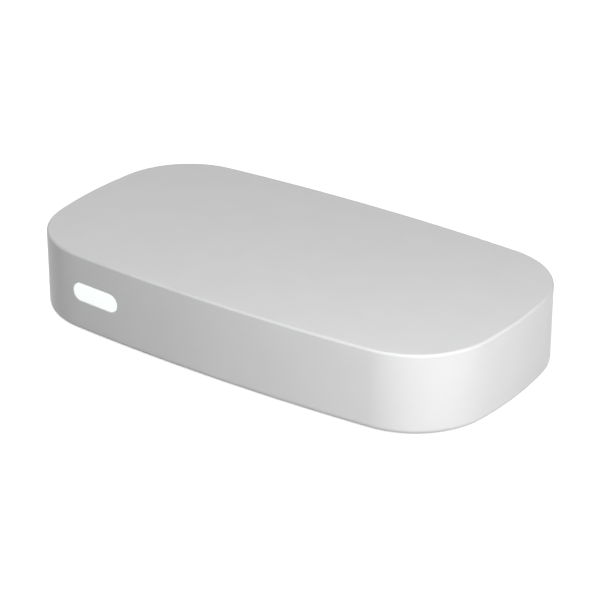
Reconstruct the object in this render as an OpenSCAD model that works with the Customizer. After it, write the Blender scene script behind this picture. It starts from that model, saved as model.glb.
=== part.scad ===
// Pocket video capture box: a one-piece cover closed from below by a screwed base plate.
// Inside, a circuit board carries two video sockets and a data socket that open through the
// rear wall, and two lamps that light a window in the front wall.
// X runs along the length, +Y points to the sockets, and Z is up from the soles of the feet.

/* [Case] */
// Length of the case
case_len = 114; // [108:1:124]
// Width of the case
case_wid = 60.5; // [58:0.5:66]
// Height of the case without its feet
case_hgt = 18.5; // [17.5:0.5:22]
// Plan radius of the four corners
corner_r = 19; // [17:0.5:21]
// Radius of the bow of the long sides
side_bow_r = 486; // [380:2:700]
// Radius of the bow of the short ends
end_bow_r = 94; // [85:1:130]
// Round along the top edge
top_round = 0.6; // [0.4:0.1:1.8]
// Round along the bottom edge
bottom_round = 1.4; // [0.6:0.1:1.7]
// Thickness of the side wall
wall = 2; // [1.8:0.1:2.4]
// Thickness of the roof
roof = 2.2; // [1.6:0.1:2.8]

/* [Base] */
// Thickness of the base plate
base_t = 1.8; // [1.6:0.1:2.2]
// Gap between the base plate and the wall round it
base_gap = 0.15; // [0.1:0.05:0.3]
// Height of the locating lip above the base plate
lip_hgt = 1.4; // [0.8:0.1:1.8]
// Thickness of the locating lip
lip_t = 1.1; // [0.8:0.1:1.4]
// Rise of the pads that the case screws pass through
pad_rise = 1.6; // [1.4:0.1:2]
// Radius of those pads
pad_r = 3.6; // [3:0.1:4]

/* [Feet] */
// Radius of each rubber foot
foot_r = 5; // [4:0.25:5.5]
// How far the feet stand below the base
foot_proud = 0.6; // [0.4:0.1:1.2]
// How deep the feet sit in the base
foot_sunk = 0.8; // [0.5:0.1:0.9]
// Gap round each foot in its seat
foot_gap = 0.1; // [0.05:0.05:0.2]
// Rim of base left outside each foot
foot_rim = 1.2; // [0.8:0.1:2]

/* [Screws] */
// Radius of the case bosses
boss_r = 2.75; // [2.4:0.05:3.2]
// Radius of the pilot holes
pilot_r = 0.95; // [0.9:0.05:1.1]
// Radius of the screw shanks
shank_r = 0.9; // [0.75:0.05:0.95]
// Radius of the screw heads
head_r = 1.9; // [1.7:0.1:2.1]
// Height of the screw heads
head_hgt = 1.1; // [0.9:0.1:1.3]
// Radius of the clearance holes
through_r = 1.2; // [1.1:0.05:1.4]
// Length of the case screw shanks
case_screw_len = 7; // [5:0.5:8]
// Length of the board screw shanks
board_screw_len = 4; // [3.4:0.1:4.4]

/* [Board] */
// Thickness of the circuit board
board_t = 1.6; // [1.2:0.1:2]
// Height of the standoffs under the board
standoff_hgt = 2.8; // [2.4:0.1:3.4]
// Radius of the standoffs
standoff_r = 2.4; // [2:0.1:2.8]
// Gap between the board's ends and the case bosses
board_gap = 1.2; // [0.8:0.1:1.6]
// Gap between the board's long edges and the wall
board_edge_gap = 1.7; // [1.4:0.1:2.2]
// Radius of the board's corners
board_corner_r = 3; // [2:0.5:4]

/* [Sockets] */
// Depth of the sockets' mouths behind the middle of the rear wall
mouth_set = 1.05; // [0.9:0.05:1.4]
// Width of wall left between neighbouring socket windows
port_gap = 6; // [4:0.5:7]
// Gap between each socket and its window
window_gap = 0.35; // [0.2:0.05:0.5]
// Sheet thickness of the socket shells
shell_t = 0.3; // [0.25:0.05:0.35]
// Inside width of the video sockets
video_w = 14; // [13.9:0.05:14.1]
// Inside height of the video sockets
video_h = 4.55; // [4.5:0.05:4.6]
// Inside width of the video sockets along their narrow side
video_narrow_w = 10.7; // [10.4:0.1:11]
// Height of the straight flanks of the video sockets
video_flank_h = 2.5; // [2.3:0.1:2.7]
// Inside radius of the video sockets' corners
video_corner_r = 0.5; // [0.3:0.1:0.7]
// Depth of the video sockets
video_depth = 11.5; // [11:0.1:12]
// Inside width of the data socket
data_w = 8.34; // [8.3:0.02:8.4]
// Inside height of the data socket
data_h = 2.56; // [2.5:0.02:2.6]
// Depth of the data socket
data_depth = 7.4; // [7:0.1:8]

/* [Light window] */
// Length of the window
lens_len = 12.7; // [10:0.1:14]
// Height of the window
lens_hgt = 4.1; // [3.5:0.1:5]
// Distance from the end of the case to the window's middle
lens_from_end = 24.6; // [24:0.2:28]
// Height of the window's middle above the base
lens_rise = 9.65; // [9.5:0.05:10.5]
// Gap round the window in its slot
lens_gap = 0.06; // [0.04:0.02:0.1]
// Width of the flange behind the wall
flange_w = 1.2; // [0.8:0.1:1.5]
// Thickness of the flange
flange_t = 0.9; // [0.7:0.1:1.2]

/* [Hidden] */
$fn = 64;

// Steps along each arc of the plan outline, round each edge and round a sheet corner
end_steps = 6;
corner_steps = 16;
side_steps = 10;
top_steps = 6;
bottom_steps = 4;
sheet_steps = 4;
// Overshoot of a cut past the face that it opens, and of a piece into the one it grows from
past = 1;
root = 0.5;
// Bevel on the rims of the base plate and the feet
bevel = 0.3;
// Webs under the roof, from boss to boss
web_t = 1.2;
web_drop = 2;
// Room above and round the case screws' heads, and past the points of the board screws
head_room = 0.2;
head_gap = 0.3;
point_room = 0.3;
// Cross recess in the screws' heads
cross_len = 2.2;
cross_w = 0.5;
cross_depth = 0.6;

// Levels, from the soles of the feet up
z_case = foot_proud;
z_top = z_case + case_hgt;
z_roof = z_top - roof;
z_base = z_case + base_t;
z_pad = z_base + pad_rise;
z_foot_seat = z_case + foot_sunk;
z_head_seat = z_foot_seat + head_room + head_hgt;
z_board = z_base + standoff_hgt;
z_chip = z_board + board_t;

// Plan outline: bowed sides and ends, joined by tangent corner arcs.
// Each arc is [centre, radius, first bearing, last bearing, steps]
half_len = case_len / 2;
half_wid = case_wid / 2;
side_c = [0, half_wid - side_bow_r];
end_c = [half_len - end_bow_r, 0];
corner_c = meet(side_c, side_bow_r - corner_r, end_c, end_bow_r - corner_r);
side_a = bearing(corner_c - side_c);
end_a = bearing(corner_c - end_c);
outline_arcs = [
    [end_c, end_bow_r, -end_a, end_a, end_steps],
    [corner_c, corner_r, end_a, side_a, corner_steps],
    [side_c, side_bow_r, side_a, 180 - side_a, side_steps],
    [[-corner_c.x, corner_c.y], corner_r, 180 - side_a, 180 - end_a, corner_steps],
    [-end_c, end_bow_r, 180 - end_a, 180 + end_a, end_steps],
    [-corner_c, corner_r, 180 + end_a, 180 + side_a, corner_steps],
    [-side_c, side_bow_r, 180 + side_a, 360 - side_a, side_steps],
    [[corner_c.x, -corner_c.y], corner_r, 360 - side_a, 360 - end_a, corner_steps]
];

// Case screws, bosses, pads and feet share four places inside the corners
foot_inset = wall + base_gap + foot_r + foot_gap + foot_rim;
foot_place = corner_c + (corner_r - foot_inset) * [cos(45), sin(45)];
quadrants = [[1, 1], [-1, 1], [-1, -1], [1, -1]];

// Board edges, with room for the light pipe in front, and the standoffs near its corners
pipe_room = 1.5;
standoff_from_end = 4;
standoff_from_front = 9;
standoff_from_rear = 5.5;
board_right = foot_place.x - boss_r - board_gap;
board_rear = half_wid - wall - board_edge_gap;
board_front = -half_wid + wall + board_edge_gap + pipe_room;
standoff_ys = [board_front + standoff_from_front, board_rear - standoff_from_rear];

// Sockets in a row across the rear wall: data, video in, video out along +X
mouth_y = half_wid - mouth_set;
data_out_w = data_w + 2 * shell_t;
video_out_w = video_w + 2 * shell_t;
ports_w = data_out_w + 2 * video_out_w + 6 * window_gap + 2 * port_gap;
data_x = -ports_w / 2 + window_gap + data_out_w / 2;
video_in_x = data_x + data_out_w / 2 + 2 * window_gap + port_gap + video_out_w / 2;
video_out_x = video_in_x + video_out_w + 2 * window_gap + port_gap;
data_z = z_chip + shell_t + data_h / 2;
video_z = z_chip + shell_t + video_h / 2;
video_sides = [
    [video_narrow_w / 2, -video_h / 2], [video_w / 2, video_h / 2 - video_flank_h],
    [video_w / 2, video_h / 2], [-video_w / 2, video_h / 2],
    [-video_w / 2, video_h / 2 - video_flank_h], [-video_narrow_w / 2, -video_h / 2]
];

// Tongues of the sockets as [width, length, thickness], their setback from the mouth, and the
// bevel on their tips
video_tongue = [10.9, 7.2, 2];
video_tongue_set = 1.5;
video_tongue_bevel = 0.4;
video_rear_y = mouth_y - video_depth;
video_block_y = mouth_y - video_tongue_set - video_tongue.y;
data_tongue = [6.7, 4.2, 0.7];
data_tongue_set = 0.7;
data_tongue_bevel = 0.2;
data_rear_y = mouth_y - data_depth;
data_block_y = mouth_y - data_tongue_set - data_tongue.y;

// Contact strips: width, thickness, pitch in a row, setback from the tongue's tip
video_pins = 19;
video_pitch = 1;
video_strip_w = 0.3;
video_strip_t = 0.15;
video_strip_set = 0.5;
video_tail = 0.9;
data_row_pins = 12;
data_pitch = 0.5;
data_strip_w = 0.26;
data_strip_t = 0.1;
data_strip_set = 0.6;
data_row_step = 0.6;
mid_plate_t = 0.15;
mid_plate_margin = 0.5;
mid_plate_set = 0.3;

// Solder legs of the socket shells, by their distance behind the mouth
leg_w = 1.4;
leg_below = 0.5;
leg_gap = 0.15;
video_leg_sets = [4, 9.5];
data_leg_sets = [3.6, 6.2];

// Springs of the video shells, cut free on three sides by a slot: size, slot width, distance
// behind the mouth, and distance apart
spring_w = 1.6;
spring_len = 4;
spring_slot = 0.4;
spring_set = 1.8;
spring_pitch = 5.6;

// Light window and the lamps under its pipe
lens_x = -half_len + lens_from_end;
lens_z = z_case + lens_rise;
lens_set = 0.05;
lamp = [3.2, 1.8, 0.8];
lamp_count = 2;
lamp_pitch = 4.5;
lamp_from_edge = 2.6;
lamp_y = board_front + lamp_from_edge;
guide_gap = 0.25;
guide_depth = 3.2;
guide_len = lens_len - lens_hgt;
gasket_rim = 0.8;
gasket_gap = 0.3;

// Surge arrays and resistors in rows behind the video sockets, as [length, width, height],
// with their pitch, count and distance behind
surge = [1.2, 1, 0.5];
surge_pitch = 2.6;
surge_count = 4;
surge_gap = 2.2;
resistor = [0.5, 1, 0.35];
resistor_pitch = 1.1;
resistor_count = 10;
resistor_gap = 4;

// Splitter chip in its can, behind the resistors and beside the middle of the video input
splitter = [8, 7, 0.9];
can = [18, 8.6, 2.2];
can_t = 0.25;
can_gap = 0.05;
can_skirt = 1.5;
can_room = 0.4;
can_side = 2.83;
can_at = [
    video_in_x + can_side,
    video_rear_y - resistor_gap - resistor.y / 2 - can_room - can.y / 2
];

// Processor under its heat sink, in front of the can, and the memory chip beside it
processor = [14, 14, 1.2];
processor_step = 0.75;
thermal_pad_margin = 1;
thermal_pad_t = 0.5;
sink = [18, 18, 6];
sink_base_t = 1.4;
sink_fins = 8;
sink_fin_t = 0.8;
sink_room = 2.9;
processor_at = [0, can_at.y - can.y / 2 - can_gap - can_t - sink_room - sink.y / 2];
memory = [8, 12, 1];
memory_room = 2.5;
memory_at = processor_at + [(processor.x + memory.x) / 2 + memory_room, 0];
bypass = [1, 0.5, 0.5];
bypass_pitch = 1.4;
bypass_count = 9;
bypass_gap = 1;

// Bridge chip behind the data socket, then the flash chip, each with a crystal
bridge = [9, 9, 0.9];
bridge_room = 15.3;
bridge_side = 4.3;
bridge_at = [data_x + bridge_side, data_rear_y - bridge_room - bridge.y / 2];
flash = [5.2, 4, 1.6];
flash_leads = [4, 1.27, 0.9];
flash_room = 5.5;
flash_at = bridge_at - [0, bridge.y / 2 + flash_room + flash.y / 2];
lead_stand = 0.15;
lead_w = 0.4;
lead_t = 0.15;
crystal = [3.2, 2.5, 0.8];
crystal_gap = 2.4;

// Power supply in rows along the board's right end
power_from_end = 11;
power_mid_y = 1;
power_pitch = 9;
power_rows = [power_mid_y - power_pitch, power_mid_y, power_mid_y + power_pitch];
power_x = board_right - power_from_end;
inductor = [4, 4, 2];
regulator = [3, 1.6, 1];
regulator_leads = [3, 0.95, 0.5];
bulk_from_end = 5;
bulk_x = board_right - bulk_from_end;
bulk_r = 2;
bulk_hgt = 4.4;
bulk_base = [4.3, 4.3, 0.6];

// Bearing of a direction in plan
function bearing(v) = atan2(v.y, v.x);

// Meeting point, on the +X side, of two circles given by centre and radius
function meet(p, rp, q, rq) =
    let (
        d = norm(q - p),
        e = (q - p) / d,
        along = (rp * rp - rq * rq + d * d) / (2 * d),
        across = sqrt(rp * rp - along * along)
    )
    p + along * e + across * [e.y, -e.x];

// Points of the plan outline, moved inwards by inset
function outline(inset) = [
    for (arc = outline_arcs, k = [0 : arc[4] - 1])
        let (a = arc[2] + (arc[3] - arc[2]) * k / arc[4])
        arc[0] + (arc[1] - inset) * [cos(a), sin(a)]
];

// Outward unit normal of the side that ends at corner k of a convex outline
function side_normal(points, k) =
    let (
        n = len(points),
        v = points[k % n] - points[(k + n - 1) % n]
    )
    [v.y, -v.x] / norm(v);

// Convex outline grown outwards by g, with its corners rounded to radius r + g
function rounded(points, r, g) = [
    for (k = [0 : len(points) - 1])
        let (
            na = side_normal(points, k),
            nb = side_normal(points, k + 1),
            centre = points[k] - r * (na + nb) / (1 + na * nb),
            turn = acos(na * nb)
        )
        for (s = [0 : sheet_steps])
            let (a = bearing(na) + turn * s / sheet_steps)
            centre + (r + g) * [cos(a), sin(a)]
];

// Inset and height along a round edge, over the top or under the bottom
function top_edge(r, z) = [
    for (k = [0 : top_steps])
        let (a = 90 - 90 * k / top_steps)
        [r * (1 - cos(a)), z - r + r * sin(a)]
];
function bottom_edge(r, z) = [
    for (k = [0 : bottom_steps])
        let (a = 90 * k / bottom_steps)
        [r * (1 - cos(a)), z + r - r * sin(a)]
];

// Solid swept round the plan outline from a profile of [inset, z] points, which runs from
// the upper flat face outwards, down and back inwards to the lower flat face
module swept(profile) {
    rings = [for (p = profile) outline(p[0])];
    n = len(rings[0]);
    m = len(profile);
    polyhedron(
        points = [for (r = [0 : m - 1], p = rings[r]) [p.x, p.y, profile[r][1]]],
        faces = concat(
            [[for (k = [n - 1 : -1 : 0]) k]],
            [[for (k = [0 : n - 1]) (m - 1) * n + k]],
            [
                for (r = [0 : m - 2], k = [0 : n - 1])
                    let (a = r * n + k, b = r * n + (k + 1) % n)
                    each [[a, b, b + n], [a, b + n, a + n]]
            ]
        )
    );
}

// Copies in the four corners of the case
module at_corners() {
    for (q = quadrants) translate([q.x * foot_place.x, q.y * foot_place.y, 0]) children();
}

// Copies at the four standoffs of the board
module at_standoffs() {
    for (s = [-1, 1], y = standoff_ys) translate([s * (board_right - standoff_from_end), y, 0]) children();
}

// Box that stands on the board, centred on [x, y] and raised by lift
module on_board(at, size, lift = 0) {
    translate([at.x - size.x / 2, at.y - size.y / 2, z_chip + lift]) cube(size);
}

// Prism of a flat shape in X and Z, from y along +Y by depth
module along_y(y, depth) {
    translate([0, y + depth, 0]) rotate([90, 0, 0]) linear_extrude(depth) children();
}

// Prism of a flat shape in Y and Z, from x along +X by length
module along_x(x, length) {
    translate([x, 0, 0]) rotate([90, 0, 90]) linear_extrude(length) children();
}

// Row of boxes on the board, count of them at pitch along X, centred on [x, y]
module in_row(at, count, pitch, size) {
    for (k = [0 : count - 1]) on_board(at + [(k - (count - 1) / 2) * pitch, 0], size);
}

// Flat oval with round ends
module oval(w, h) {
    square([w - h, h], center = true);
    for (s = [-1, 1]) translate([s * (w - h) / 2, 0]) circle(d = h);
}

// Screw that stands on its head, with a cross recess in it
module screw(length) {
    difference() {
        union() {
            cylinder(r = head_r, h = head_hgt);
            cylinder(r = shank_r, h = head_hgt + length);
        }
        for (a = [0, 90]) rotate(a) translate([-cross_len / 2, -cross_w / 2, -past])
            cube([cross_len, cross_w, cross_depth + past]);
    }
}

// Inside of a video socket, grown outwards by g
module video_outline(g) {
    polygon(rounded(video_sides, video_corner_r, g));
}

// Inside of the data socket, grown outwards by g
module data_outline(g) {
    oval(data_w + 2 * g, data_h + 2 * g);
}

// Windows for the sockets in the rear wall
module port_windows() {
    inner_y = board_rear;
    depth = half_wid + past - inner_y;
    grow = shell_t + window_gap;
    for (x = [video_in_x, video_out_x])
        translate([x, 0, video_z]) along_y(inner_y, depth) video_outline(grow);
    translate([data_x, 0, data_z]) along_y(inner_y, depth) data_outline(grow);
}

// Prism of the light window, grown by g, from outside the front wall back to y
module lens_prism(g, y) {
    front = -half_wid - past;
    translate([lens_x, 0, lens_z]) along_y(front, y - front) oval(lens_len + 2 * g, lens_hgt + 2 * g);
}

module top_cover() {
    color("gainsboro") difference() {
        union() {
            swept(concat(
                top_edge(top_round, z_top),
                bottom_edge(bottom_round, z_case),
                [[wall, z_case], [wall, z_roof]]
            ));
            at_corners() translate([0, 0, z_pad]) cylinder(r = boss_r, h = z_roof - z_pad + root);
            for (s = [-1, 1]) {
                translate([s * foot_place.x - web_t / 2, -foot_place.y, z_roof - web_drop])
                    cube([web_t, 2 * foot_place.y, web_drop + root]);
                translate([-foot_place.x, s * foot_place.y - web_t / 2, z_roof - web_drop])
                    cube([2 * foot_place.x, web_t, web_drop + root]);
            }
        }
        at_corners() translate([0, 0, z_pad - past]) cylinder(r = pilot_r, h = case_screw_len + past);
        port_windows();
        lens_prism(lens_gap, board_front);
    }
}

module base_plate() {
    edge = wall + base_gap;
    z_lip = z_base + lip_hgt;
    color("whitesmoke") difference() {
        union() {
            swept([
                [edge + lip_t, z_base], [edge + lip_t, z_lip], [edge + bevel, z_lip], [edge, z_lip - bevel],
                [edge, z_case + bevel], [edge + bevel, z_case]
            ]);
            at_corners() translate([0, 0, z_base - root]) cylinder(r = pad_r, h = pad_rise + root);
            at_standoffs() translate([0, 0, z_base - root])
                cylinder(r = standoff_r, h = standoff_hgt + root);
        }
        at_corners() {
            translate([0, 0, z_case - past]) cylinder(r = foot_r + foot_gap, h = foot_sunk + past);
            translate([0, 0, z_case]) cylinder(r = head_r + head_gap, h = z_head_seat - z_case);
            translate([0, 0, z_case]) cylinder(r = through_r, h = z_pad - z_case + past);
        }
        at_standoffs() translate([0, 0, z_chip - board_screw_len - point_room])
            cylinder(r = pilot_r, h = board_screw_len + point_room);
    }
}

module rubber_feet() {
    color("dimgray") at_corners() rotate_extrude() polygon([
        [0, 0], [foot_r - bevel, 0], [foot_r, bevel], [foot_r, z_foot_seat], [0, z_foot_seat]
    ]);
}

module case_screws() {
    color("silver") at_corners() translate([0, 0, z_head_seat - head_hgt]) screw(case_screw_len);
}

// Lens through the wall, flange behind it, and a guide that turns the lamps' light forwards
// at a sloping mirror face
module light_pipe() {
    flange_inset = wall + lens_set;
    flange_y = -half_wid + wall + flange_t;
    low = lens_z - lens_hgt / 2;
    high = lens_z + lens_hgt / 2;
    foot_z = z_chip + lamp.z + guide_gap;
    foot_front = lamp_y - guide_depth / 2;
    foot_rear = lamp_y + guide_depth / 2;
    color("white") union() {
        intersection() {
            lens_prism(0, flange_y);
            swept([[lens_set, z_top], [lens_set, z_case]]);
        }
        intersection() {
            lens_prism(flange_w, flange_y + past);
            swept([[flange_inset, z_top], [flange_inset, z_case]]);
        }
        along_x(lens_x - guide_len / 2, guide_len) polygon([
            [flange_y, low], [foot_front, low], [foot_front, foot_z], [foot_rear, foot_z],
            [foot_rear, (2 * foot_z + high) / 3], [foot_front, high], [flange_y, high]
        ]);
    }
}

module light_gasket() {
    inside = [guide_len + 2 * gasket_gap, lamp.y + 2 * gasket_gap, lamp.z + 2 * past];
    color("black") difference() {
        on_board([lens_x, lamp_y], [inside.x + 2 * gasket_rim, inside.y + 2 * gasket_rim, lamp.z]);
        on_board([lens_x, lamp_y], inside, -past);
    }
}

module status_lamps() {
    color("lightyellow") in_row([lens_x, lamp_y], lamp_count, lamp_pitch, lamp);
}

module main_board() {
    r = board_corner_r;
    w = board_rear - board_front;
    color("darkgreen") difference() {
        translate([0, (board_rear + board_front) / 2, z_board]) linear_extrude(board_t) {
            square([2 * (board_right - r), w], center = true);
            square([2 * board_right, w - 2 * r], center = true);
            for (q = quadrants) translate([q.x * (board_right - r), q.y * (w / 2 - r)]) circle(r = r);
        }
        at_standoffs() translate([0, 0, z_board - past]) cylinder(r = through_r, h = board_t + 2 * past);
        for (x = [video_in_x, video_out_x]) legs(x, video_out_w, video_leg_sets, z_chip + past, leg_gap);
        legs(data_x, data_out_w, data_leg_sets, z_chip + past, leg_gap);
    }
}

module board_screws() {
    color("silver") at_standoffs() translate([0, 0, z_chip + head_hgt]) mirror([0, 0, 1])
        screw(board_screw_len);
}

// Legs of a socket shell, from under the board up to z, grown sideways by g
module legs(x, shell_w, sets, z, g = 0) {
    foot = z_board - leg_below - g;
    for (s = [-1, 1], set = sets)
        translate([x + s * (shell_w - shell_t) / 2, mouth_y - set, (z + foot) / 2])
            cube([shell_t + 2 * g, leg_w + 2 * g, z - foot], center = true);
}

// Slots round the springs of a video shell, through its upper and its lower sheet
module spring_slots(x) {
    front = mouth_y - spring_set;
    for (s = [-1, 1], side = [-1, 1]) {
        left = x + s * spring_pitch / 2 - spring_w / 2;
        low = video_z + side * (video_h + shell_t) / 2 - shell_t;
        translate([left - spring_slot, front - spring_len - spring_slot, low])
            linear_extrude(2 * shell_t) difference() {
                square([spring_w + 2 * spring_slot, spring_len + spring_slot]);
                translate([spring_slot, spring_slot]) square([spring_w, spring_len + past]);
            }
    }
}

module video_shell(x) {
    color("silver") difference() {
        union() {
            translate([x, 0, video_z]) along_y(video_rear_y, video_depth) difference() {
                video_outline(shell_t);
                video_outline(0);
            }
            legs(x, video_out_w, video_leg_sets, video_z + video_h / 2 - video_corner_r);
        }
        spring_slots(x);
    }
}

// Tongue of a socket on its back block, from rear to tip, with a bevelled tip
module tongue(at, rear, tip, size, edge) {
    low = at.y - size.z / 2;
    high = at.y + size.z / 2;
    along_x(at.x - size.x / 2, size.x) polygon([
        [rear, low], [tip - edge, low], [tip, low + edge],
        [tip, high - edge], [tip - edge, high], [rear, high]
    ]);
}

// Contacts of a video socket: ten on the tongue and nine under it, staggered, each turned
// down behind the back block to a tail on the board
module video_contacts(x) {
    w = video_strip_w;
    t = video_strip_t;
    tip = mouth_y - video_tongue_set - video_strip_set;
    back = video_rear_y - t;
    color("gold") for (k = [0 : video_pins - 1]) {
        left = x + (k - (video_pins - 1) / 2) * video_pitch / 2 - w / 2;
        z = k % 2 == 0 ? video_z + video_tongue.z / 2 - t : video_z - video_tongue.z / 2;
        translate([left, back, z]) cube([w, tip - back, t]);
        translate([left, back, z_chip]) cube([w, t, z - z_chip + t]);
        translate([left, back + t - video_tail, z_chip]) cube([w, video_tail, t]);
    }
}

module video_insulator(x) {
    block = video_block_y - video_rear_y;
    color("black") difference() {
        union() {
            translate([x, 0, video_z]) along_y(video_rear_y, block) video_outline(0);
            tongue(
                [x, video_z], video_rear_y, mouth_y - video_tongue_set, video_tongue, video_tongue_bevel
            );
        }
        video_contacts(x);
    }
}

module video_in_shell() { video_shell(video_in_x); }
module video_in_insulator() { video_insulator(video_in_x); }
module video_in_contacts() { video_contacts(video_in_x); }
module video_out_shell() { video_shell(video_out_x); }
module video_out_insulator() { video_insulator(video_out_x); }
module video_out_contacts() { video_contacts(video_out_x); }

module data_shell() {
    color("silver") union() {
        translate([data_x, 0, data_z]) along_y(data_rear_y, data_depth) difference() {
            data_outline(shell_t);
            data_outline(0);
        }
        legs(data_x, data_out_w, data_leg_sets, data_z);
    }
}

module data_mid_plate() {
    w = data_tongue.x - 2 * mid_plate_margin;
    tip = mouth_y - data_tongue_set - mid_plate_set;
    color("silver") translate([data_x - w / 2, data_rear_y, data_z - mid_plate_t / 2])
        cube([w, tip - data_rear_y, mid_plate_t]);
}

// Contacts of the data socket: two facing rows, the upper one turned down further back
module data_contacts() {
    w = data_strip_w;
    t = data_strip_t;
    tip = mouth_y - data_tongue_set - data_strip_set;
    color("gold") for (k = [0 : data_row_pins - 1], upper = [0, 1]) {
        left = data_x + (k - (data_row_pins - 1) / 2) * data_pitch - w / 2;
        z = upper ? data_z + data_tongue.z / 2 - t : data_z - data_tongue.z / 2;
        back = data_rear_y - t - upper * data_row_step;
        translate([left, back, z]) cube([w, tip - back, t]);
        translate([left, back, z_chip]) cube([w, t, z - z_chip + t]);
    }
}

module data_insulator() {
    block = data_block_y - data_rear_y;
    color("black") difference() {
        union() {
            translate([data_x, 0, data_z]) along_y(data_rear_y, block) data_outline(0);
            tongue(
                [data_x, data_z], data_rear_y, mouth_y - data_tongue_set, data_tongue, data_tongue_bevel
            );
        }
        data_contacts();
        data_mid_plate();
    }
}

module capture_processor() {
    step = 2 * processor_step;
    color("darkslategray") {
        on_board(processor_at, [processor.x, processor.y, processor.z / 2]);
        on_board(processor_at, [processor.x - step, processor.y - step, processor.z]);
    }
}

module thermal_pad() {
    margin = 2 * thermal_pad_margin;
    size = [processor.x - margin, processor.y - margin, thermal_pad_t];
    color("lightskyblue") on_board(processor_at, size, processor.z);
}

module heat_sink() {
    lift = processor.z + thermal_pad_t;
    pitch = (sink.x - sink_fin_t) / (sink_fins - 1);
    color("lightgray") {
        on_board(processor_at, [sink.x, sink.y, sink_base_t], lift);
        for (k = [0 : sink_fins - 1]) {
            x = (k - (sink_fins - 1) / 2) * pitch;
            on_board(processor_at + [x, 0], [sink_fin_t, sink.y, sink.z], lift);
        }
    }
}

module memory_chip() {
    color("black") on_board(memory_at, memory);
}

module data_bridge_chip() {
    color("black") on_board(bridge_at, bridge);
}

module video_splitter_chip() {
    color("black") on_board(can_at, splitter);
}

// Chip on bent leads along two sides, where leads is [count a side, pitch, reach]
module leaded(at, size, leads) {
    on_board(at, [size.x, size.y, size.z - lead_stand], lead_stand);
    for (k = [0 : leads[0] - 1], s = [-1, 1]) {
        x = at.x + (k - (leads[0] - 1) / 2) * leads[1];
        on_board([x, at.y + s * (size.y + leads[2]) / 2], [lead_w, leads[2], lead_t]);
        on_board([x, at.y + s * (size.y + lead_t) / 2], [lead_w, lead_t, size.z / 2]);
    }
}

module flash_chip() {
    color("black") leaded(flash_at, flash, flash_leads);
}

module power_regulators() {
    color("black") for (y = power_rows) leaded([power_x, y + power_pitch / 2], regulator, regulator_leads);
}

module shield_frame() {
    inside = [can.x - 2 * can_t, can.y - 2 * can_t, can.z + 2 * past];
    color("silver") difference() {
        on_board(can_at, can);
        on_board(can_at, inside, -past);
    }
}

module shield_lid() {
    low = can.z - can_skirt;
    inside = [can.x + 2 * can_gap, can.y + 2 * can_gap, can_skirt + past];
    color("lightgray") difference() {
        on_board(can_at, [inside.x + 2 * can_t, inside.y + 2 * can_t, can_skirt + can_t], low);
        on_board(can_at, inside, low - past);
    }
}

module surge_arrays() {
    color("black") for (x = [video_in_x, video_out_x])
        in_row([x, video_rear_y - surge_gap], surge_count, surge_pitch, surge);
}

module line_resistors() {
    color("dimgray") for (x = [video_in_x, video_out_x])
        in_row([x, video_rear_y - resistor_gap], resistor_count, resistor_pitch, resistor);
}

module crystals() {
    color("silver") {
        on_board(bridge_at + [0, bridge.y / 2 + crystal_gap], crystal);
        on_board(flash_at + [flash.x / 2 + crystal_gap, -flash.y], crystal);
    }
}

module power_inductors() {
    color("darkgray") for (y = power_rows) on_board([power_x, y], inductor);
}

module bulk_capacitors() {
    color("silver") for (y = power_rows) {
        on_board([bulk_x, y], bulk_base);
        translate([bulk_x, y, z_chip]) cylinder(r = bulk_r, h = bulk_hgt);
    }
}

module bypass_capacitors() {
    color("tan") for (s = [-1, 1])
        in_row(processor_at + [0, s * (processor.y / 2 + bypass_gap)], bypass_count, bypass_pitch, bypass);
}

top_cover();
base_plate();
rubber_feet();
case_screws();
light_pipe();
light_gasket();
status_lamps();
main_board();
board_screws();
video_in_shell();
video_in_insulator();
video_in_contacts();
video_out_shell();
video_out_insulator();
video_out_contacts();
data_shell();
data_insulator();
data_mid_plate();
data_contacts();
capture_processor();
thermal_pad();
heat_sink();
memory_chip();
flash_chip();
data_bridge_chip();
video_splitter_chip();
shield_frame();
shield_lid();
surge_arrays();
crystals();
power_inductors();
power_regulators();
bulk_capacitors();
bypass_capacitors();
line_resistors();
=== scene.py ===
import math

import bmesh
import bpy
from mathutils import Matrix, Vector
from mathutils.geometry import delaunay_2d_cdt

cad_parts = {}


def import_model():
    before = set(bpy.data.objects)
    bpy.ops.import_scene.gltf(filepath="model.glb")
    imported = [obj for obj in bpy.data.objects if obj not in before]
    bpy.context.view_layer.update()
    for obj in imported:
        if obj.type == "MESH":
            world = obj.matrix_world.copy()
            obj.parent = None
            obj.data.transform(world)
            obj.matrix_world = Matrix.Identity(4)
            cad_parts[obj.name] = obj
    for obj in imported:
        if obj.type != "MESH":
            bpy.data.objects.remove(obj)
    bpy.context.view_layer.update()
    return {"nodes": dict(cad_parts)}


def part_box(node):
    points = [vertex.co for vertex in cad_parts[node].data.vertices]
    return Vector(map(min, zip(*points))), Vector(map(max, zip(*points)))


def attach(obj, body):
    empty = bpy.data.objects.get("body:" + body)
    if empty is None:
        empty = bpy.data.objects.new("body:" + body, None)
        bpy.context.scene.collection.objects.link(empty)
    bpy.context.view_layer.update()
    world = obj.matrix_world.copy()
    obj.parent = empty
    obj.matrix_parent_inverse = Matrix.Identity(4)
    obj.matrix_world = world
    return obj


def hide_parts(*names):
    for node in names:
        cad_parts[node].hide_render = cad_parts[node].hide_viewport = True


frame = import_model()
slots = {name: node.data.materials[0].name for name, node in frame["nodes"].items()}
for plain in list(bpy.data.materials):
    bpy.data.materials.remove(plain)

# Looks of a pocket video capture box: a pale moulded cover over a base with rubber feet, a lit
# window in the front wall and three sockets in the rear wall.
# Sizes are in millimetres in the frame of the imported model, and become metres with each mesh.
MM = 0.001


def node_box(node):
    """Lowest and highest corner of a CAD node, in millimetres."""
    low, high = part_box(node)
    return low / MM, high / MM


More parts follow.
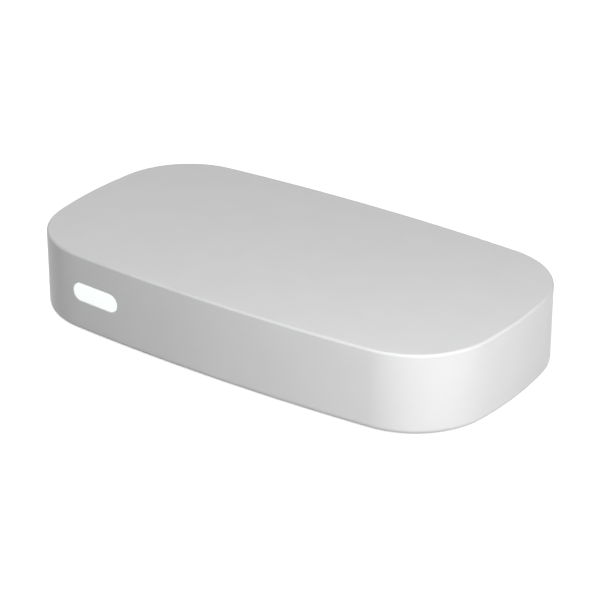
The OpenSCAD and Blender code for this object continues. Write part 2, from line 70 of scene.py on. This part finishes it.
# Case: overall sizes from the frame, radii and thicknesses as in the part's source
cover_low, cover_high = node_box("top_cover")
HALF_LEN = cover_high.x
HALF_WID = cover_high.y
Z_CASE = cover_low.z
Z_TOP = cover_high.z
CORNER_R = 19
SIDE_BOW_R = 486
END_BOW_R = 94
TOP_ROUND = 0.6
BOTTOM_ROUND = 1.4
WALL = 2
ROOF = 2.2
Z_ROOF = Z_TOP - ROOF

# Bosses and webs under the roof
feet_high = node_box("rubber_feet")[1]
FOOT_R = 5
FOOT_PLACE = Vector((feet_high.x - FOOT_R, feet_high.y - FOOT_R))
Z_FOOT_SEAT = feet_high.z
PAD_RISE = 3.4
Z_PAD = Z_CASE + PAD_RISE
BOSS_R = 2.75
PILOT_R = 0.95
PILOT_DEPTH = 7
WEB_T = 1.2
WEB_DROP = 2
ROOT = 0.5

# Soles of the feet: round along the edge, and a shallow dish in the middle
SOLE_ROUND = 0.45
DISH_R = 3.2
DISH_DEPTH = 0.12
DISH_START = 0.9

# Light window, from the flange behind it
pipe_low, pipe_high = node_box("light_pipe")
LENS_LEN = 12.7
LENS_HGT = 4.1
LENS_GAP = 0.06
FLANGE_W = 1.2
LENS_X = (pipe_low.x + pipe_high.x) / 2
LENS_Z = pipe_high.z - FLANGE_W - LENS_HGT / 2

# Sockets: inside sizes of their shells, and the gap round them in the wall
SHELL_T = 0.3
WINDOW_GAP = 0.35
VIDEO_W = 14
VIDEO_H = 4.55
VIDEO_NARROW_W = 10.7
VIDEO_FLANK_H = 2.5
VIDEO_CORNER_R = 0.5
VIDEO_LEG_SETS = (4, 9.5)
DATA_W = 8.34
DATA_H = 2.56
DATA_LEG_SETS = (3.6, 6.2)
LEG_W = 1.4

# Springs of the video shells, cut free by slots and bent inwards
SPRING_W = 1.6
SPRING_LEN = 4
SPRING_SLOT = 0.4
SPRING_SET = 1.8
SPRING_PITCH = 5.6
SPRING_BEND = 0.35
SPRING_TURN = 0.75 * math.pi

# Round rims of the holes in the walls, wall filled afresh round them, and bevels of the sheet metal
RIM = 0.2
FILLED_MARGIN = 4
SHEET_BEVEL = 0.06

# Fineness of the meshes: steps along each arc
END_STEPS = 24
CORNER_STEPS = 40
SIDE_STEPS = 72
EDGE_STEPS = 10
RIM_STEPS = 4
OVAL_STEPS = 24
LATHE_STEPS = 72
SHEET_STEPS = 5
SPRING_STEPS = 6
# Edges that turn by more than this stay sharp
SHARP = math.radians(35)


def bearing(v):
    return math.atan2(v.y, v.x)


def turned(radius, angle):
    return radius * Vector((math.cos(angle), math.sin(angle)))


def steps(first, last, count):
    """Evenly spaced numbers from first to last, both included."""
    return [first + (last - first) * k / count for k in range(count + 1)]


def meet(p, rp, q, rq):
    """Meeting point, on the +X side, of two circles given by centre and radius."""
    d = (q - p).length
    e = (q - p) / d
    along = (rp * rp - rq * rq + d * d) / (2 * d)
    across = math.sqrt(rp * rp - along * along)
    return p + along * e + across * Vector((e.y, -e.x))


# Plan outline: bowed sides and ends joined by tangent corner arcs
SIDE_C = Vector((0, HALF_WID - SIDE_BOW_R))
END_C = Vector((HALF_LEN - END_BOW_R, 0))
CORNER_C = meet(SIDE_C, SIDE_BOW_R - CORNER_R, END_C, END_BOW_R - CORNER_R)
SIDE_A = bearing(CORNER_C - SIDE_C)
END_A = bearing(CORNER_C - END_C)
ARCS = [
    (END_C, END_BOW_R, -END_A, END_A, END_STEPS),
    (CORNER_C, CORNER_R, END_A, SIDE_A, CORNER_STEPS),
    (SIDE_C, SIDE_BOW_R, SIDE_A, math.pi - SIDE_A, SIDE_STEPS),
    (Vector((-CORNER_C.x, CORNER_C.y)), CORNER_R, math.pi - SIDE_A, math.pi - END_A, CORNER_STEPS),
]


def outline(inset):
    """Points of the plan outline, anticlockwise, moved inwards by inset."""
    half = [
        centre + turned(radius - inset, angle)
        for centre, radius, first, last, count in ARCS
        for angle in steps(first, last, count)[:-1]
    ]
    return half + [-p for p in half]


def wall_y(side, x, inset):
    """Y of the long wall at x, on the rear (side 1) or the front (side -1)."""
    return side * (SIDE_C.y + math.sqrt((SIDE_BOW_R - inset) ** 2 - x * x))


def oval(x, z, length, height):
    """Function that gives the points of an oval with round ends, grown by its argument."""
    def grown(grow):
        half = (length - height) / 2
        return [
            Vector((x + end * half, z)) + turned(height / 2 + grow, angle)
            for end, first in ((1, -math.pi / 2), (-1, math.pi / 2))
            for angle in steps(first, first + math.pi, OVAL_STEPS)
        ]
    return grown


def rounded(corners, radius):
    """Function that gives the points of a convex shape with round corners, grown by its argument."""
    def side_normal(k):
        v = corners[k % len(corners)] - corners[k - 1]
        return Vector((v.y, -v.x)).normalized()

    def grown(grow):
        points = []
        for k, corner in enumerate(corners):
            a, b = side_normal(k), side_normal(k + 1)
            centre = corner - radius * (a + b) / (1 + a.dot(b))
            turn = math.acos(a.dot(b))
            points += [
                centre + turned(radius + grow, angle)
                for angle in steps(bearing(a), bearing(a) + turn, SHEET_STEPS)
            ]
        return points
    return grown


def video_sides(x, z):
    """Corners of the inside of a video socket, anticlockwise from the narrow side's right end."""
    half = [
        Vector((VIDEO_NARROW_W / 2, -VIDEO_H / 2)),
        Vector((VIDEO_W / 2, VIDEO_H / 2 - VIDEO_FLANK_H)),
        Vector((VIDEO_W / 2, VIDEO_H / 2)),
    ]
    mirrored = [Vector((-p.x, p.y)) for p in reversed(half)]
    return [Vector((x, z)) + p for p in half + mirrored]


class Socket:
    """Place and inside of a socket, from the box of its CAD shell."""

    def __init__(self, node, inside_h):
        low, high = node_box(node)
        self.node = node
        self.x = (low.x + high.x) / 2
        self.z = high.z - SHELL_T - inside_h / 2
        self.mouth_y = high.y
        self.rear_y = low.y
        self.leg_z = low.z


data = Socket("data_shell", DATA_H)
data.inside = oval(data.x, data.z, DATA_W, DATA_H)
videos = [Socket(node, VIDEO_H) for node in ("video_in_shell", "video_out_shell")]
for video in videos:
    video.inside = rounded(video_sides(video.x, video.z), VIDEO_CORNER_R)

# Mesh helpers


def ring(bm, inset, z):
    return [bm.verts.new((p.x, p.y, z)) for p in outline(inset)]


def bridge(bm, first, second, columns=None):
    """Quads between two closed loops, in all columns or only in the given ones."""
    n = len(first)
    for k in range(n) if columns is None else columns:
        bm.faces.new((first[k], first[(k + 1) % n], second[(k + 1) % n], second[k]))


def fill(bm, border, holes):
    """Triangles, laid out in X and Z, between a convex border and the convex holes in it."""
    loops = [border, *holes]
    verts = [v for loop in loops for v in loop]
    owners = [number for number, loop in enumerate(loops) for v in loop]
    edges = []
    for loop in loops:
        first = verts.index(loop[0])
        edges += [(first + k, first + (k + 1) % len(loop)) for k in range(len(loop))]
    flat = [Vector((v.co.x, v.co.z)) for v in verts]
    for triangle in delaunay_2d_cdt(flat, edges, [], 0, 1e-6)[2]:
        touched = {owners[k] for k in triangle}
        if len(touched) > 1 or touched == {0}:
            bm.faces.new([verts[k] for k in triangle])


def hole_ring(bm, side, hole, grow, inset):
    return [bm.verts.new((p.x, wall_y(side, p.x, inset), p.y)) for p in hole(grow)]


def lathe(bm, centre, profile):
    """Closed solid turned about a vertical line, from a profile of (radius, z) points."""
    angles = steps(0, 2 * math.pi, LATHE_STEPS)[:-1]
    rings = [
        [bm.verts.new((*(centre + turned(radius, angle)), z)) for angle in angles]
        for radius, z in profile
    ]
    for first, second in zip(rings, rings[1:]):
        bridge(bm, first, second)
    bm.faces.new(rings[0])
    bm.faces.new(rings[-1])


def block(bm, low, high):
    """Closed box between two corners."""
    verts = bmesh.ops.create_cube(bm, size=1)["verts"]
    for v in verts:
        v.co = [low[k] if v.co[k] < 0 else high[k] for k in range(3)]


def new_object(name, bm):
    """Object of the given mesh, scaled to metres, smooth but for its sharp edges."""
    bmesh.ops.recalc_face_normals(bm, faces=bm.faces)
    bmesh.ops.scale(bm, vec=(MM, MM, MM), verts=bm.verts)
    for face in bm.faces:
        face.smooth = True
    for edge in bm.edges:
        edge.smooth = edge.calc_face_angle(math.pi) < SHARP
    mesh = bpy.data.meshes.new(name)
    bm.to_mesh(mesh)
    bm.free()
    made = bpy.data.objects.new(name, mesh)
    bpy.context.scene.collection.objects.link(made)
    return made


def unite(piece, other):
    """Joins another closed object to a piece, and removes the other."""
    joint = piece.modifiers.new("unite", "BOOLEAN")
    joint.operation = "UNION"
    joint.solver = "EXACT"
    joint.use_self = True
    joint.object = other
    graph = bpy.context.evaluated_depsgraph_get()
    piece.data = bpy.data.meshes.new_from_object(piece.evaluated_get(graph))
    piece.modifiers.clear()
    bpy.data.objects.remove(other)


def place(piece, slot, *nodes):
    """Puts a finished piece on the only body, in the place of CAD nodes of one finish."""
    piece.modifiers.new("normals", "WEIGHTED_NORMAL").keep_sharp = True
    piece.data.materials.clear()
    piece.data.materials.append(finishes[slot])
    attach(piece, "root")
    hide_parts(*nodes)


# Materials

# Noise at which a colour is at its darkest and its lightest
RAMP_STOPS = (0.3, 0.7)
# Glow of the light window along its lower and its upper edge
WINDOW_GLOW = (0.74, 0.80)

PLAIN_FINISHES = {
    # slot: (dark colour, light colour, least and most roughness, metallic, grain in mm, relief in mm)
    "foot_rubber": ((0.27, 0.27, 0.28), (0.33, 0.33, 0.34), (0.75, 0.9), 0, 0.25, 0.02),
    "screw_steel": ((0.52, 0.52, 0.53), (0.62, 0.62, 0.63), (0.25, 0.4), 1, 0.4, 0.004),
    "gasket_foam": ((0.02, 0.02, 0.02), (0.05, 0.05, 0.05), (0.85, 0.95), 0, 0.3, 0.06),
    "board_laminate": ((0.02, 0.13, 0.055), (0.04, 0.19, 0.085), (0.3, 0.45), 0, 1.8, 0.012),
    "socket_insulator": ((0.02, 0.02, 0.021), (0.03, 0.03, 0.031), (0.4, 0.55), 0, 0.3, 0.006),
    "contact_gold": ((0.78, 0.56, 0.22), (0.88, 0.68, 0.30), (0.2, 0.32), 1, 0.5, 0.002),
    "chip_resin": ((0.025, 0.026, 0.028), (0.045, 0.046, 0.05), (0.5, 0.65), 0, 0.12, 0.008),
    "thermal_pad_silicone": ((0.41, 0.54, 0.64), (0.49, 0.62, 0.72), (0.6, 0.75), 0, 0.6, 0.02),
    "sink_aluminium": ((0.60, 0.61, 0.62), (0.72, 0.73, 0.74), (0.35, 0.5), 1, 0.5, 0.006),
    "shield_metal": ((0.62, 0.61, 0.58), (0.72, 0.71, 0.68), (0.28, 0.42), 1, 0.7, 0.004),
    "inductor_ferrite": ((0.10, 0.10, 0.105), (0.16, 0.16, 0.165), (0.55, 0.7), 0, 0.2, 0.012),
    "capacitor_can": ((0.66, 0.66, 0.67), (0.76, 0.76, 0.77), (0.25, 0.38), 1, 0.5, 0.004),
    "chip_ceramic": ((0.52, 0.42, 0.29), (0.62, 0.51, 0.37), (0.5, 0.62), 0, 0.15, 0.006),
    "resistor_ceramic": ((0.08, 0.08, 0.085), (0.14, 0.14, 0.145), (0.45, 0.6), 0, 0.15, 0.006),
}


def add_node(tree, kind, links=(), **values):
    """New shader node, with links and plain values on its inputs by name or number."""
    made = tree.nodes.new("ShaderNode" + kind)
    for name, value in values.items():
        made.inputs[name.replace("_", " ")].default_value = value
    for name, output in dict(links).items():
        tree.links.new(output, made.inputs[name])
    return made


class Finish:
    """Material with one Principled shader, fed by noise in the object's own coordinates."""

    def __init__(self, slot, **constants):
        self.material = bpy.data.materials.new(slot)
        self.material.use_nodes = True
        self.tree = self.material.node_tree
        self.shader = self.tree.nodes["Principled BSDF"]
        self.coordinates = self.node("TexCoord").outputs["Object"]
        for name, value in constants.items():
            self.shader.inputs[name.replace("_", " ")].default_value = value

    def node(self, kind, links=(), **values):
        return add_node(self.tree, kind, links, **values)

    def feed(self, name, output):
        self.tree.links.new(output, self.shader.inputs[name])

    def noise(self, grain, stretch=(1, 1, 1), detail=3):
        """Noise whose grain is about that many millimetres across."""
        placed = self.node("Mapping", {"Vector": self.coordinates}, Scale=stretch)
        links = {"Vector": placed.outputs["Vector"]}
        return self.node("TexNoise", links, Scale=1 / (grain * MM), Detail=detail).outputs["Fac"]

    def blend(self, factor, dark, light):
        """Base colour that runs from dark to light with the factor."""
        ramp = self.node("ValToRGB", {"Fac": factor})
        for stop, position, colour in zip(ramp.color_ramp.elements, RAMP_STOPS, (dark, light)):
            stop.position = position
            stop.color = (*colour, 1)
        self.feed("Base Color", ramp.outputs["Color"])

    def rough(self, factor, least, most):
        spread = self.node("MapRange", {"Value": factor}, To_Min=least, To_Max=most)
        self.feed("Roughness", spread.outputs["Result"])

    def relief(self, height, depth):
        """Fine relief of that depth in millimetres."""
        bump = self.node("Bump", {"Height": height}, Strength=1, Distance=depth * MM)
        self.feed("Normal", bump.outputs["Normal"])


def plain_finish(slot, dark, light, roughness, metallic, grain, depth):
    """Finish whose colour, roughness and relief follow one noise and a broader one."""
    made = Finish(slot, Metallic=metallic)
    fine = made.noise(grain)
    made.blend(made.noise(8 * grain), dark, light)
    made.rough(fine, *roughness)
    made.relief(fine, depth)
    return made.material


def case_plastic():
    """Pale satin plastic: fine spark-eroded grain, with a faint drift in colour and gloss."""
    made = Finish("case_plastic", Specular_IOR_Level=0.4)
    made.blend(made.noise(9, detail=2), (0.752, 0.753, 0.757), (0.768, 0.769, 0.773))
    made.rough(made.noise(1.2), 0.33, 0.37)
    made.relief(made.noise(0.5, detail=1), 0.0008)
    return made.material


def light_window():
    """Milky clear plastic, lit from behind, a little brighter towards its upper edge."""
    made = Finish("light_window", Roughness=0.25, Emission_Color=(0.965, 1, 0.99, 1))
    made.blend(made.noise(2), (0.30, 0.31, 0.31), (0.34, 0.35, 0.35))
    axes = made.node("SeparateXYZ", {"Vector": made.coordinates})
    low, high = WINDOW_GLOW
    height = made.node(
        "MapRange", {"Value": axes.outputs["Z"]},
        From_Min=pipe_low.z * MM, From_Max=pipe_high.z * MM, To_Min=low, To_Max=high
    )
    made.feed("Emission Strength", height.outputs["Result"])
    return made.material


def lamp_resin():
    """Pale yellow resin that glows."""
    made = Finish("lamp_resin", Roughness=0.3, Emission_Color=(1, 0.98, 0.9, 1), Emission_Strength=2)
    made.blend(made.noise(0.6), (0.80, 0.74, 0.44), (0.88, 0.82, 0.54))
    return made.material


def socket_shell_metal():
    """Nickel plating over drawn sheet, with faint lines along the draw."""
    made = Finish("socket_shell_metal", Metallic=1)
    lines = made.noise(0.15, stretch=(1, 0.05, 1))
    made.blend(lines, (0.60, 0.59, 0.57), (0.72, 0.71, 0.69))
    made.rough(lines, 0.2, 0.34)
    made.relief(lines, 0.003)
    return made.material


finishes = {slot: plain_finish(slot, *values) for slot, values in PLAIN_FINISHES.items()}
for special in (case_plastic, light_window, lamp_resin, socket_shell_metal):
    finishes[special.__name__] = special()

# Pieces


def span(side, low_x, high_x):
    """Numbers of the outline's points on a long side between two places."""
    return [
        k for k, p in enumerate(outline(0)) if side * p.y > HALF_WID - WALL and low_x <= p.x <= high_x
    ]


def pierced_walls(bm, outer, inner):
    """Outer and inner wall, each between two rings, with rimmed holes for the sockets and the window."""
    grow = SHELL_T + WINDOW_GAP
    ports = [lambda g, socket=socket: socket.inside(grow + g) for socket in (data, *videos)]
    slot = oval(LENS_X, LENS_Z, LENS_LEN + 2 * LENS_GAP, LENS_HGT + 2 * LENS_GAP)
    ends = videos[-1].x + VIDEO_W / 2 + FILLED_MARGIN
    rear = span(1, -ends, ends)
    reach = LENS_LEN / 2 + FILLED_MARGIN
    front = span(-1, LENS_X - reach, LENS_X + reach)
    cut = set(rear[:-1] + front[:-1])
    rest = [k for k in range(len(outer[0])) if k not in cut]
    for upper, lower in (outer, inner):
        bridge(bm, upper, lower, rest)
    for side, columns, holes in ((1, rear, ports), (-1, front, [slot])):
        outside = [hole_ring(bm, side, hole, RIM, 0) for hole in holes]
        inside = [hole_ring(bm, side, hole, 0, WALL) for hole in holes]
        for (upper, lower), rings in ((outer, outside), (inner, inside)):
            fill(bm, [upper[k] for k in columns] + [lower[k] for k in reversed(columns)], rings)
        for hole, first, last in zip(holes, outside, inside):
            for angle in steps(0, math.pi / 2, RIM_STEPS)[1:]:
                rim = hole_ring(
                    bm, side, hole, RIM * (1 - math.sin(angle)), RIM * (1 - math.cos(angle))
                )
                bridge(bm, first, rim)
                first = rim
            bridge(bm, first, last)


def cover():
    """Moulded cover: rounded over the top and under the walls, hollow, open below."""
    bm = bmesh.new()
    top = [
        ring(bm, TOP_ROUND * (1 - math.sin(a)), Z_TOP - TOP_ROUND * (1 - math.cos(a)))
        for a in steps(0, math.pi / 2, EDGE_STEPS)
    ]
    bottom = [
        ring(bm, BOTTOM_ROUND * (1 - math.cos(a)), Z_CASE + BOTTOM_ROUND * (1 - math.sin(a)))
        for a in steps(0, math.pi / 2, EDGE_STEPS)
    ]
    inner = ring(bm, WALL, Z_CASE), ring(bm, WALL, Z_ROOF)
    for rings in (top, [*bottom, inner[0]]):
        for first, second in zip(rings, rings[1:]):
            bridge(bm, first, second)
    pierced_walls(bm, (top[-1], bottom[0]), inner)
    bm.faces.new(top[0])
    bm.faces.new(inner[1])
    return new_object("cover", bm)


def cover_inside():
    """Screw bosses in the corners, and webs from boss to boss."""
    bm = bmesh.new()
    x, y = FOOT_PLACE
    for corner in ((x, y), (-x, y), (-x, -y), (x, -y)):
        lathe(bm, Vector(corner), [
            (PILOT_R, Z_PAD + PILOT_DEPTH), (PILOT_R, Z_PAD), (BOSS_R, Z_PAD), (BOSS_R, Z_ROOF + ROOT)
        ])
    low, high = Z_ROOF - WEB_DROP, Z_ROOF + ROOT
    for s in (-1, 1):
        block(bm, (s * x - WEB_T / 2, -y, low), (s * x + WEB_T / 2, y, high))
        block(bm, (-x, s * y - WEB_T / 2, low), (x, s * y + WEB_T / 2, high))
    return new_object("cover_inside", bm)


def feet():
    """Rubber feet with round edges and a dished sole."""
    bm = bmesh.new()
    dish = [(DISH_R * (1 - t), DISH_DEPTH * (1 - (1 - t) ** 2)) for t in steps(DISH_START, 0, EDGE_STEPS)]
    edge = [
        (FOOT_R - SOLE_ROUND * (1 - math.sin(a)), SOLE_ROUND * (1 - math.cos(a)))
        for a in steps(0, math.pi / 2, EDGE_STEPS)
    ]
    for side in (-1, 1):
        for end in (-1, 1):
            centre = Vector((end * FOOT_PLACE.x, side * FOOT_PLACE.y))
            lathe(bm, centre, [*dish, *edge, (FOOT_R, Z_FOOT_SEAT)])
    return new_object("feet", bm)


def sheet_shell(socket, name, loop, leg_top, leg_x, leg_sets, springs=False):
    """Socket shell of sheet metal round a loop of points, with solder legs and, if asked, springs."""
    bm = bmesh.new()
    root = socket.mouth_y - SPRING_SET
    tip = root - SPRING_LEN
    rows = [socket.rear_y, tip - SPRING_SLOT, *steps(tip, root, SPRING_STEPS), socket.mouth_y]
    grid = [[bm.verts.new((p.x, y, p.y)) for p in loop] for y in rows]
    for y, first, second in zip(rows, grid, grid[1:]):
        for k in range(len(loop)):
            left, right = loop[k], loop[(k + 1) % len(loop)]
            part = spring_part(socket, left, right) if springs and rows[1] <= y < root else None
            if part == "slot" or part == "spring" and y < tip:
                continue
            bm.faces.new((first[k], second[k], second[(k + 1) % len(loop)], first[(k + 1) % len(loop)]))
    if springs:
        for y, row in zip(rows[2:-2], grid[2:-2]):
            for v in row:
                if abs(abs(v.co.x - socket.x) - SPRING_PITCH / 2) < SPRING_W / 2 + SPRING_SLOT / 2:
                    inwards = math.copysign(1, socket.z - v.co.z)
                    bend = math.sin(SPRING_TURN * (root - y) / SPRING_LEN)
                    v.co.z += inwards * SPRING_BEND * bend
    for side in (-1, 1):
        for leg_set in leg_sets:
            x, y = socket.x + side * leg_x, socket.mouth_y - leg_set
            corners = [(-side, leg_top), (side, leg_top), (side, socket.leg_z), (-side, socket.leg_z)]
            bm.faces.new([bm.verts.new((x, y + s * LEG_W / 2, z)) for s, z in corners])
    for v in [v for v in bm.verts if not v.link_faces]:
        bm.verts.remove(v)
    made = new_object(name, bm)
    sheet = made.modifiers.new("sheet", "SOLIDIFY")
    sheet.thickness = SHELL_T * MM
    sheet.offset = 1
    edges = made.modifiers.new("edges", "BEVEL")
    edges.width = SHEET_BEVEL * MM
    edges.segments = 2
    edges.angle_limit = SHARP
    return made


def spring_part(socket, left, right):
    """Whether the stretch of sheet between two points is a spring, its slot or neither."""
    across = abs(abs((left.x + right.x) / 2 - socket.x) - SPRING_PITCH / 2)
    if abs(left.y - right.y) > SHELL_T or across > SPRING_W / 2 + SPRING_SLOT:
        return None
    return "spring" if across < SPRING_W / 2 else "slot"


def with_springs(socket):
    """Inside loop of a video socket, with extra points at the edges of its springs and their slots."""
    middles = [socket.x - SPRING_PITCH / 2, socket.x + SPRING_PITCH / 2]
    inner, outer = SPRING_W / 2, SPRING_W / 2 + SPRING_SLOT
    marks = [x + offset for x in middles for offset in (-outer, -inner, inner, outer)]
    points = []
    loop = socket.inside(0)
    for p, q in zip(loop, loop[1:] + loop[:1]):
        points.append(p)
        if (q - p).length > SPRING_PITCH:
            ordered = marks if q.x > p.x else reversed(marks)
            points += [Vector((x, p.y)) for x in ordered]
    return points


case = cover()
unite(case, cover_inside())
place(case, "case_plastic", "top_cover")
place(feet(), "foot_rubber", "rubber_feet")
for video in videos:
    shell = sheet_shell(
        video, video.node + "_sheet", with_springs(video), video.z + VIDEO_H / 2 - VIDEO_FLANK_H,
        VIDEO_W / 2, VIDEO_LEG_SETS, springs=True
    )
    place(shell, "socket_shell_metal", video.node)
shell = sheet_shell(
    data, "data_shell_sheet", data.inside(0), data.z, DATA_W / 2, DATA_LEG_SETS
)
place(shell, "socket_shell_metal", "data_shell")

# CAD nodes that stay take the finish of their slot
for name, node in frame["nodes"].items():
    node.data.materials.clear()
    node.data.materials.append(finishes[slots[name]])

# Stage: pale floor, white for the camera where no shadow falls, with painted shade round the object from
# a weaker glow there, and a world that is white where seen
FLOOR_SIZE = 8
# Shade of the floor for light that bounces off it, and where it is seen
FLOOR_BOUNCE = 0.16
FLOOR_SEEN = 0.9
# Glow that makes the seen floor white far from the object, and is weaker near it, which paints shade
# round the object; the glow near and far, and the two distances
GLOW_NEAR_PAINTED_SHADE = 0.78
GLOW_FAR = 0.95
GLOW_DISTANCES = (0.12, 0.5)
WORLD_GREY = 0.12


def seen_or_mirrored(tree):
    """1 for rays from the camera, or by way of gloss or glass, and 0 for the rest."""
    path = add_node(tree, "LightPath")
    total = path.outputs["Is Camera Ray"]
    for name in ("Is Glossy Ray", "Is Transmission Ray"):
        either = add_node(tree, "Math", {0: total, 1: path.outputs[name]})
        either.operation = "MAXIMUM"
        total = either.outputs[0]
    return total


def floor_finish():
    """Plain for bounced light; seen, it is a shade that keeps the shadow, and a glow. The glow is weaker
    near the object, which paints shade round it on top of the real shadow.
    """
    material = bpy.data.materials.new("floor_pale")
    material.use_nodes = True
    tree = material.node_tree
    tree.nodes.clear()
    plain = add_node(tree, "BsdfDiffuse", Color=(FLOOR_BOUNCE, FLOOR_BOUNCE, FLOOR_BOUNCE, 1))
    shade = add_node(tree, "BsdfDiffuse", Color=(FLOOR_SEEN, FLOOR_SEEN, FLOOR_SEEN, 1))
    place = add_node(tree, "TexCoord").outputs["Object"]
    distance = add_node(tree, "VectorMath", {0: place})
    distance.operation = "LENGTH"
    near, far = GLOW_DISTANCES
    # Painted shade: the glow is weaker near the object, so the floor round it is darker
    strength = add_node(
        tree, "MapRange", {"Value": distance.outputs["Value"]},
        From_Min=near, From_Max=far, To_Min=GLOW_NEAR_PAINTED_SHADE, To_Max=GLOW_FAR
    )
    glow = add_node(tree, "Emission", {"Strength": strength.outputs["Result"]})
    seen = add_node(tree, "AddShader", {0: shade.outputs[0], 1: glow.outputs[0]})
    links = {0: seen_or_mirrored(tree), 1: plain.outputs[0], 2: seen.outputs[0]}
    choice = add_node(tree, "MixShader", links)
    add_node(tree, "OutputMaterial", {"Surface": choice.outputs[0]})
    return material


def floor():
    bm = bmesh.new()
    bmesh.ops.create_grid(bm, size=FLOOR_SIZE / 2)
    mesh = bpy.data.meshes.new("floor")
    bm.to_mesh(mesh)
    bm.free()
    mesh.materials.append(floor_finish())
    made = bpy.data.objects.new("floor", mesh)
    bpy.context.scene.collection.objects.link(made)


def world():
    """Even grey light, white where it is seen or mirrored."""
    made = bpy.data.worlds.new("studio")
    made.use_nodes = True
    tree = made.node_tree
    background = tree.nodes["Background"]
    background.inputs["Color"].default_value = (1, 1, 1, 1)
    level = add_node(tree, "MapRange", {"Value": seen_or_mirrored(tree)}, To_Min=WORLD_GREY, To_Max=1)
    tree.links.new(level.outputs["Result"], background.inputs["Strength"])
    bpy.context.scene.world = made


# Softboxes aimed at the case: azimuth and elevation in degrees as for the camera, distance, size, watts
SOFTBOXES = {
    "key": (56, 25, 250, 280, 0.669),
    "fill": (-20, 60, 250, 200, 0.151),
    "rim": (240, 35, 300, 200, 0.038),
    "back": (222, 7, 450, 120, 0.9),
}
CENTRE = Vector((0, 0, (Z_CASE + Z_TOP) / 2))


def towards(azimuth, elevation):
    """Unit vector from the object towards a place round it; azimuth 0 is in front, 90 to the right."""
    a, e = math.radians(azimuth), math.radians(elevation)
    return Vector((math.sin(a) * math.cos(e), -math.cos(a) * math.cos(e), math.sin(e)))


def aim(made, place, target):
    """Puts a lamp or camera at a place, looking at a target, both in millimetres."""
    made.location = place * MM
    made.rotation_mode = "QUATERNION"
    made.rotation_quaternion = (target - place).to_track_quat("-Z", "Y")
    bpy.context.scene.collection.objects.link(made)


def softbox(name, azimuth, elevation, distance, size, watts):
    """Round lamp, not mirrored, so that the pale top does not glare from low down."""
    lamp = bpy.data.lights.new(name, "AREA")
    lamp.shape = "DISK"
    lamp.size = size * MM
    lamp.energy = watts
    made = bpy.data.objects.new(name, lamp)
    made.visible_camera = False
    made.visible_glossy = False
    aim(made, CENTRE + distance * towards(azimuth, elevation), CENTRE)


# Camera, fitted to the case's outline in the photograph
CAMERA_TARGET = Vector((4.758, -4.597, 10.475))
CAMERA_AZIMUTH = 35.502
CAMERA_ELEVATION = 26.477
CAMERA_DISTANCE = 523.4
CAMERA_LENS = 145.045


def camera():
    eye = bpy.data.cameras.new("camera")
    eye.lens = CAMERA_LENS
    made = bpy.data.objects.new("camera", eye)
    place = CAMERA_TARGET + CAMERA_DISTANCE * towards(CAMERA_AZIMUTH, CAMERA_ELEVATION)
    aim(made, place, CAMERA_TARGET)
    bpy.context.scene.camera = made


floor()
world()
camera()
for name, values in SOFTBOXES.items():
    softbox(name, *values)
bpy.context.scene.view_settings.view_transform = "Standard"
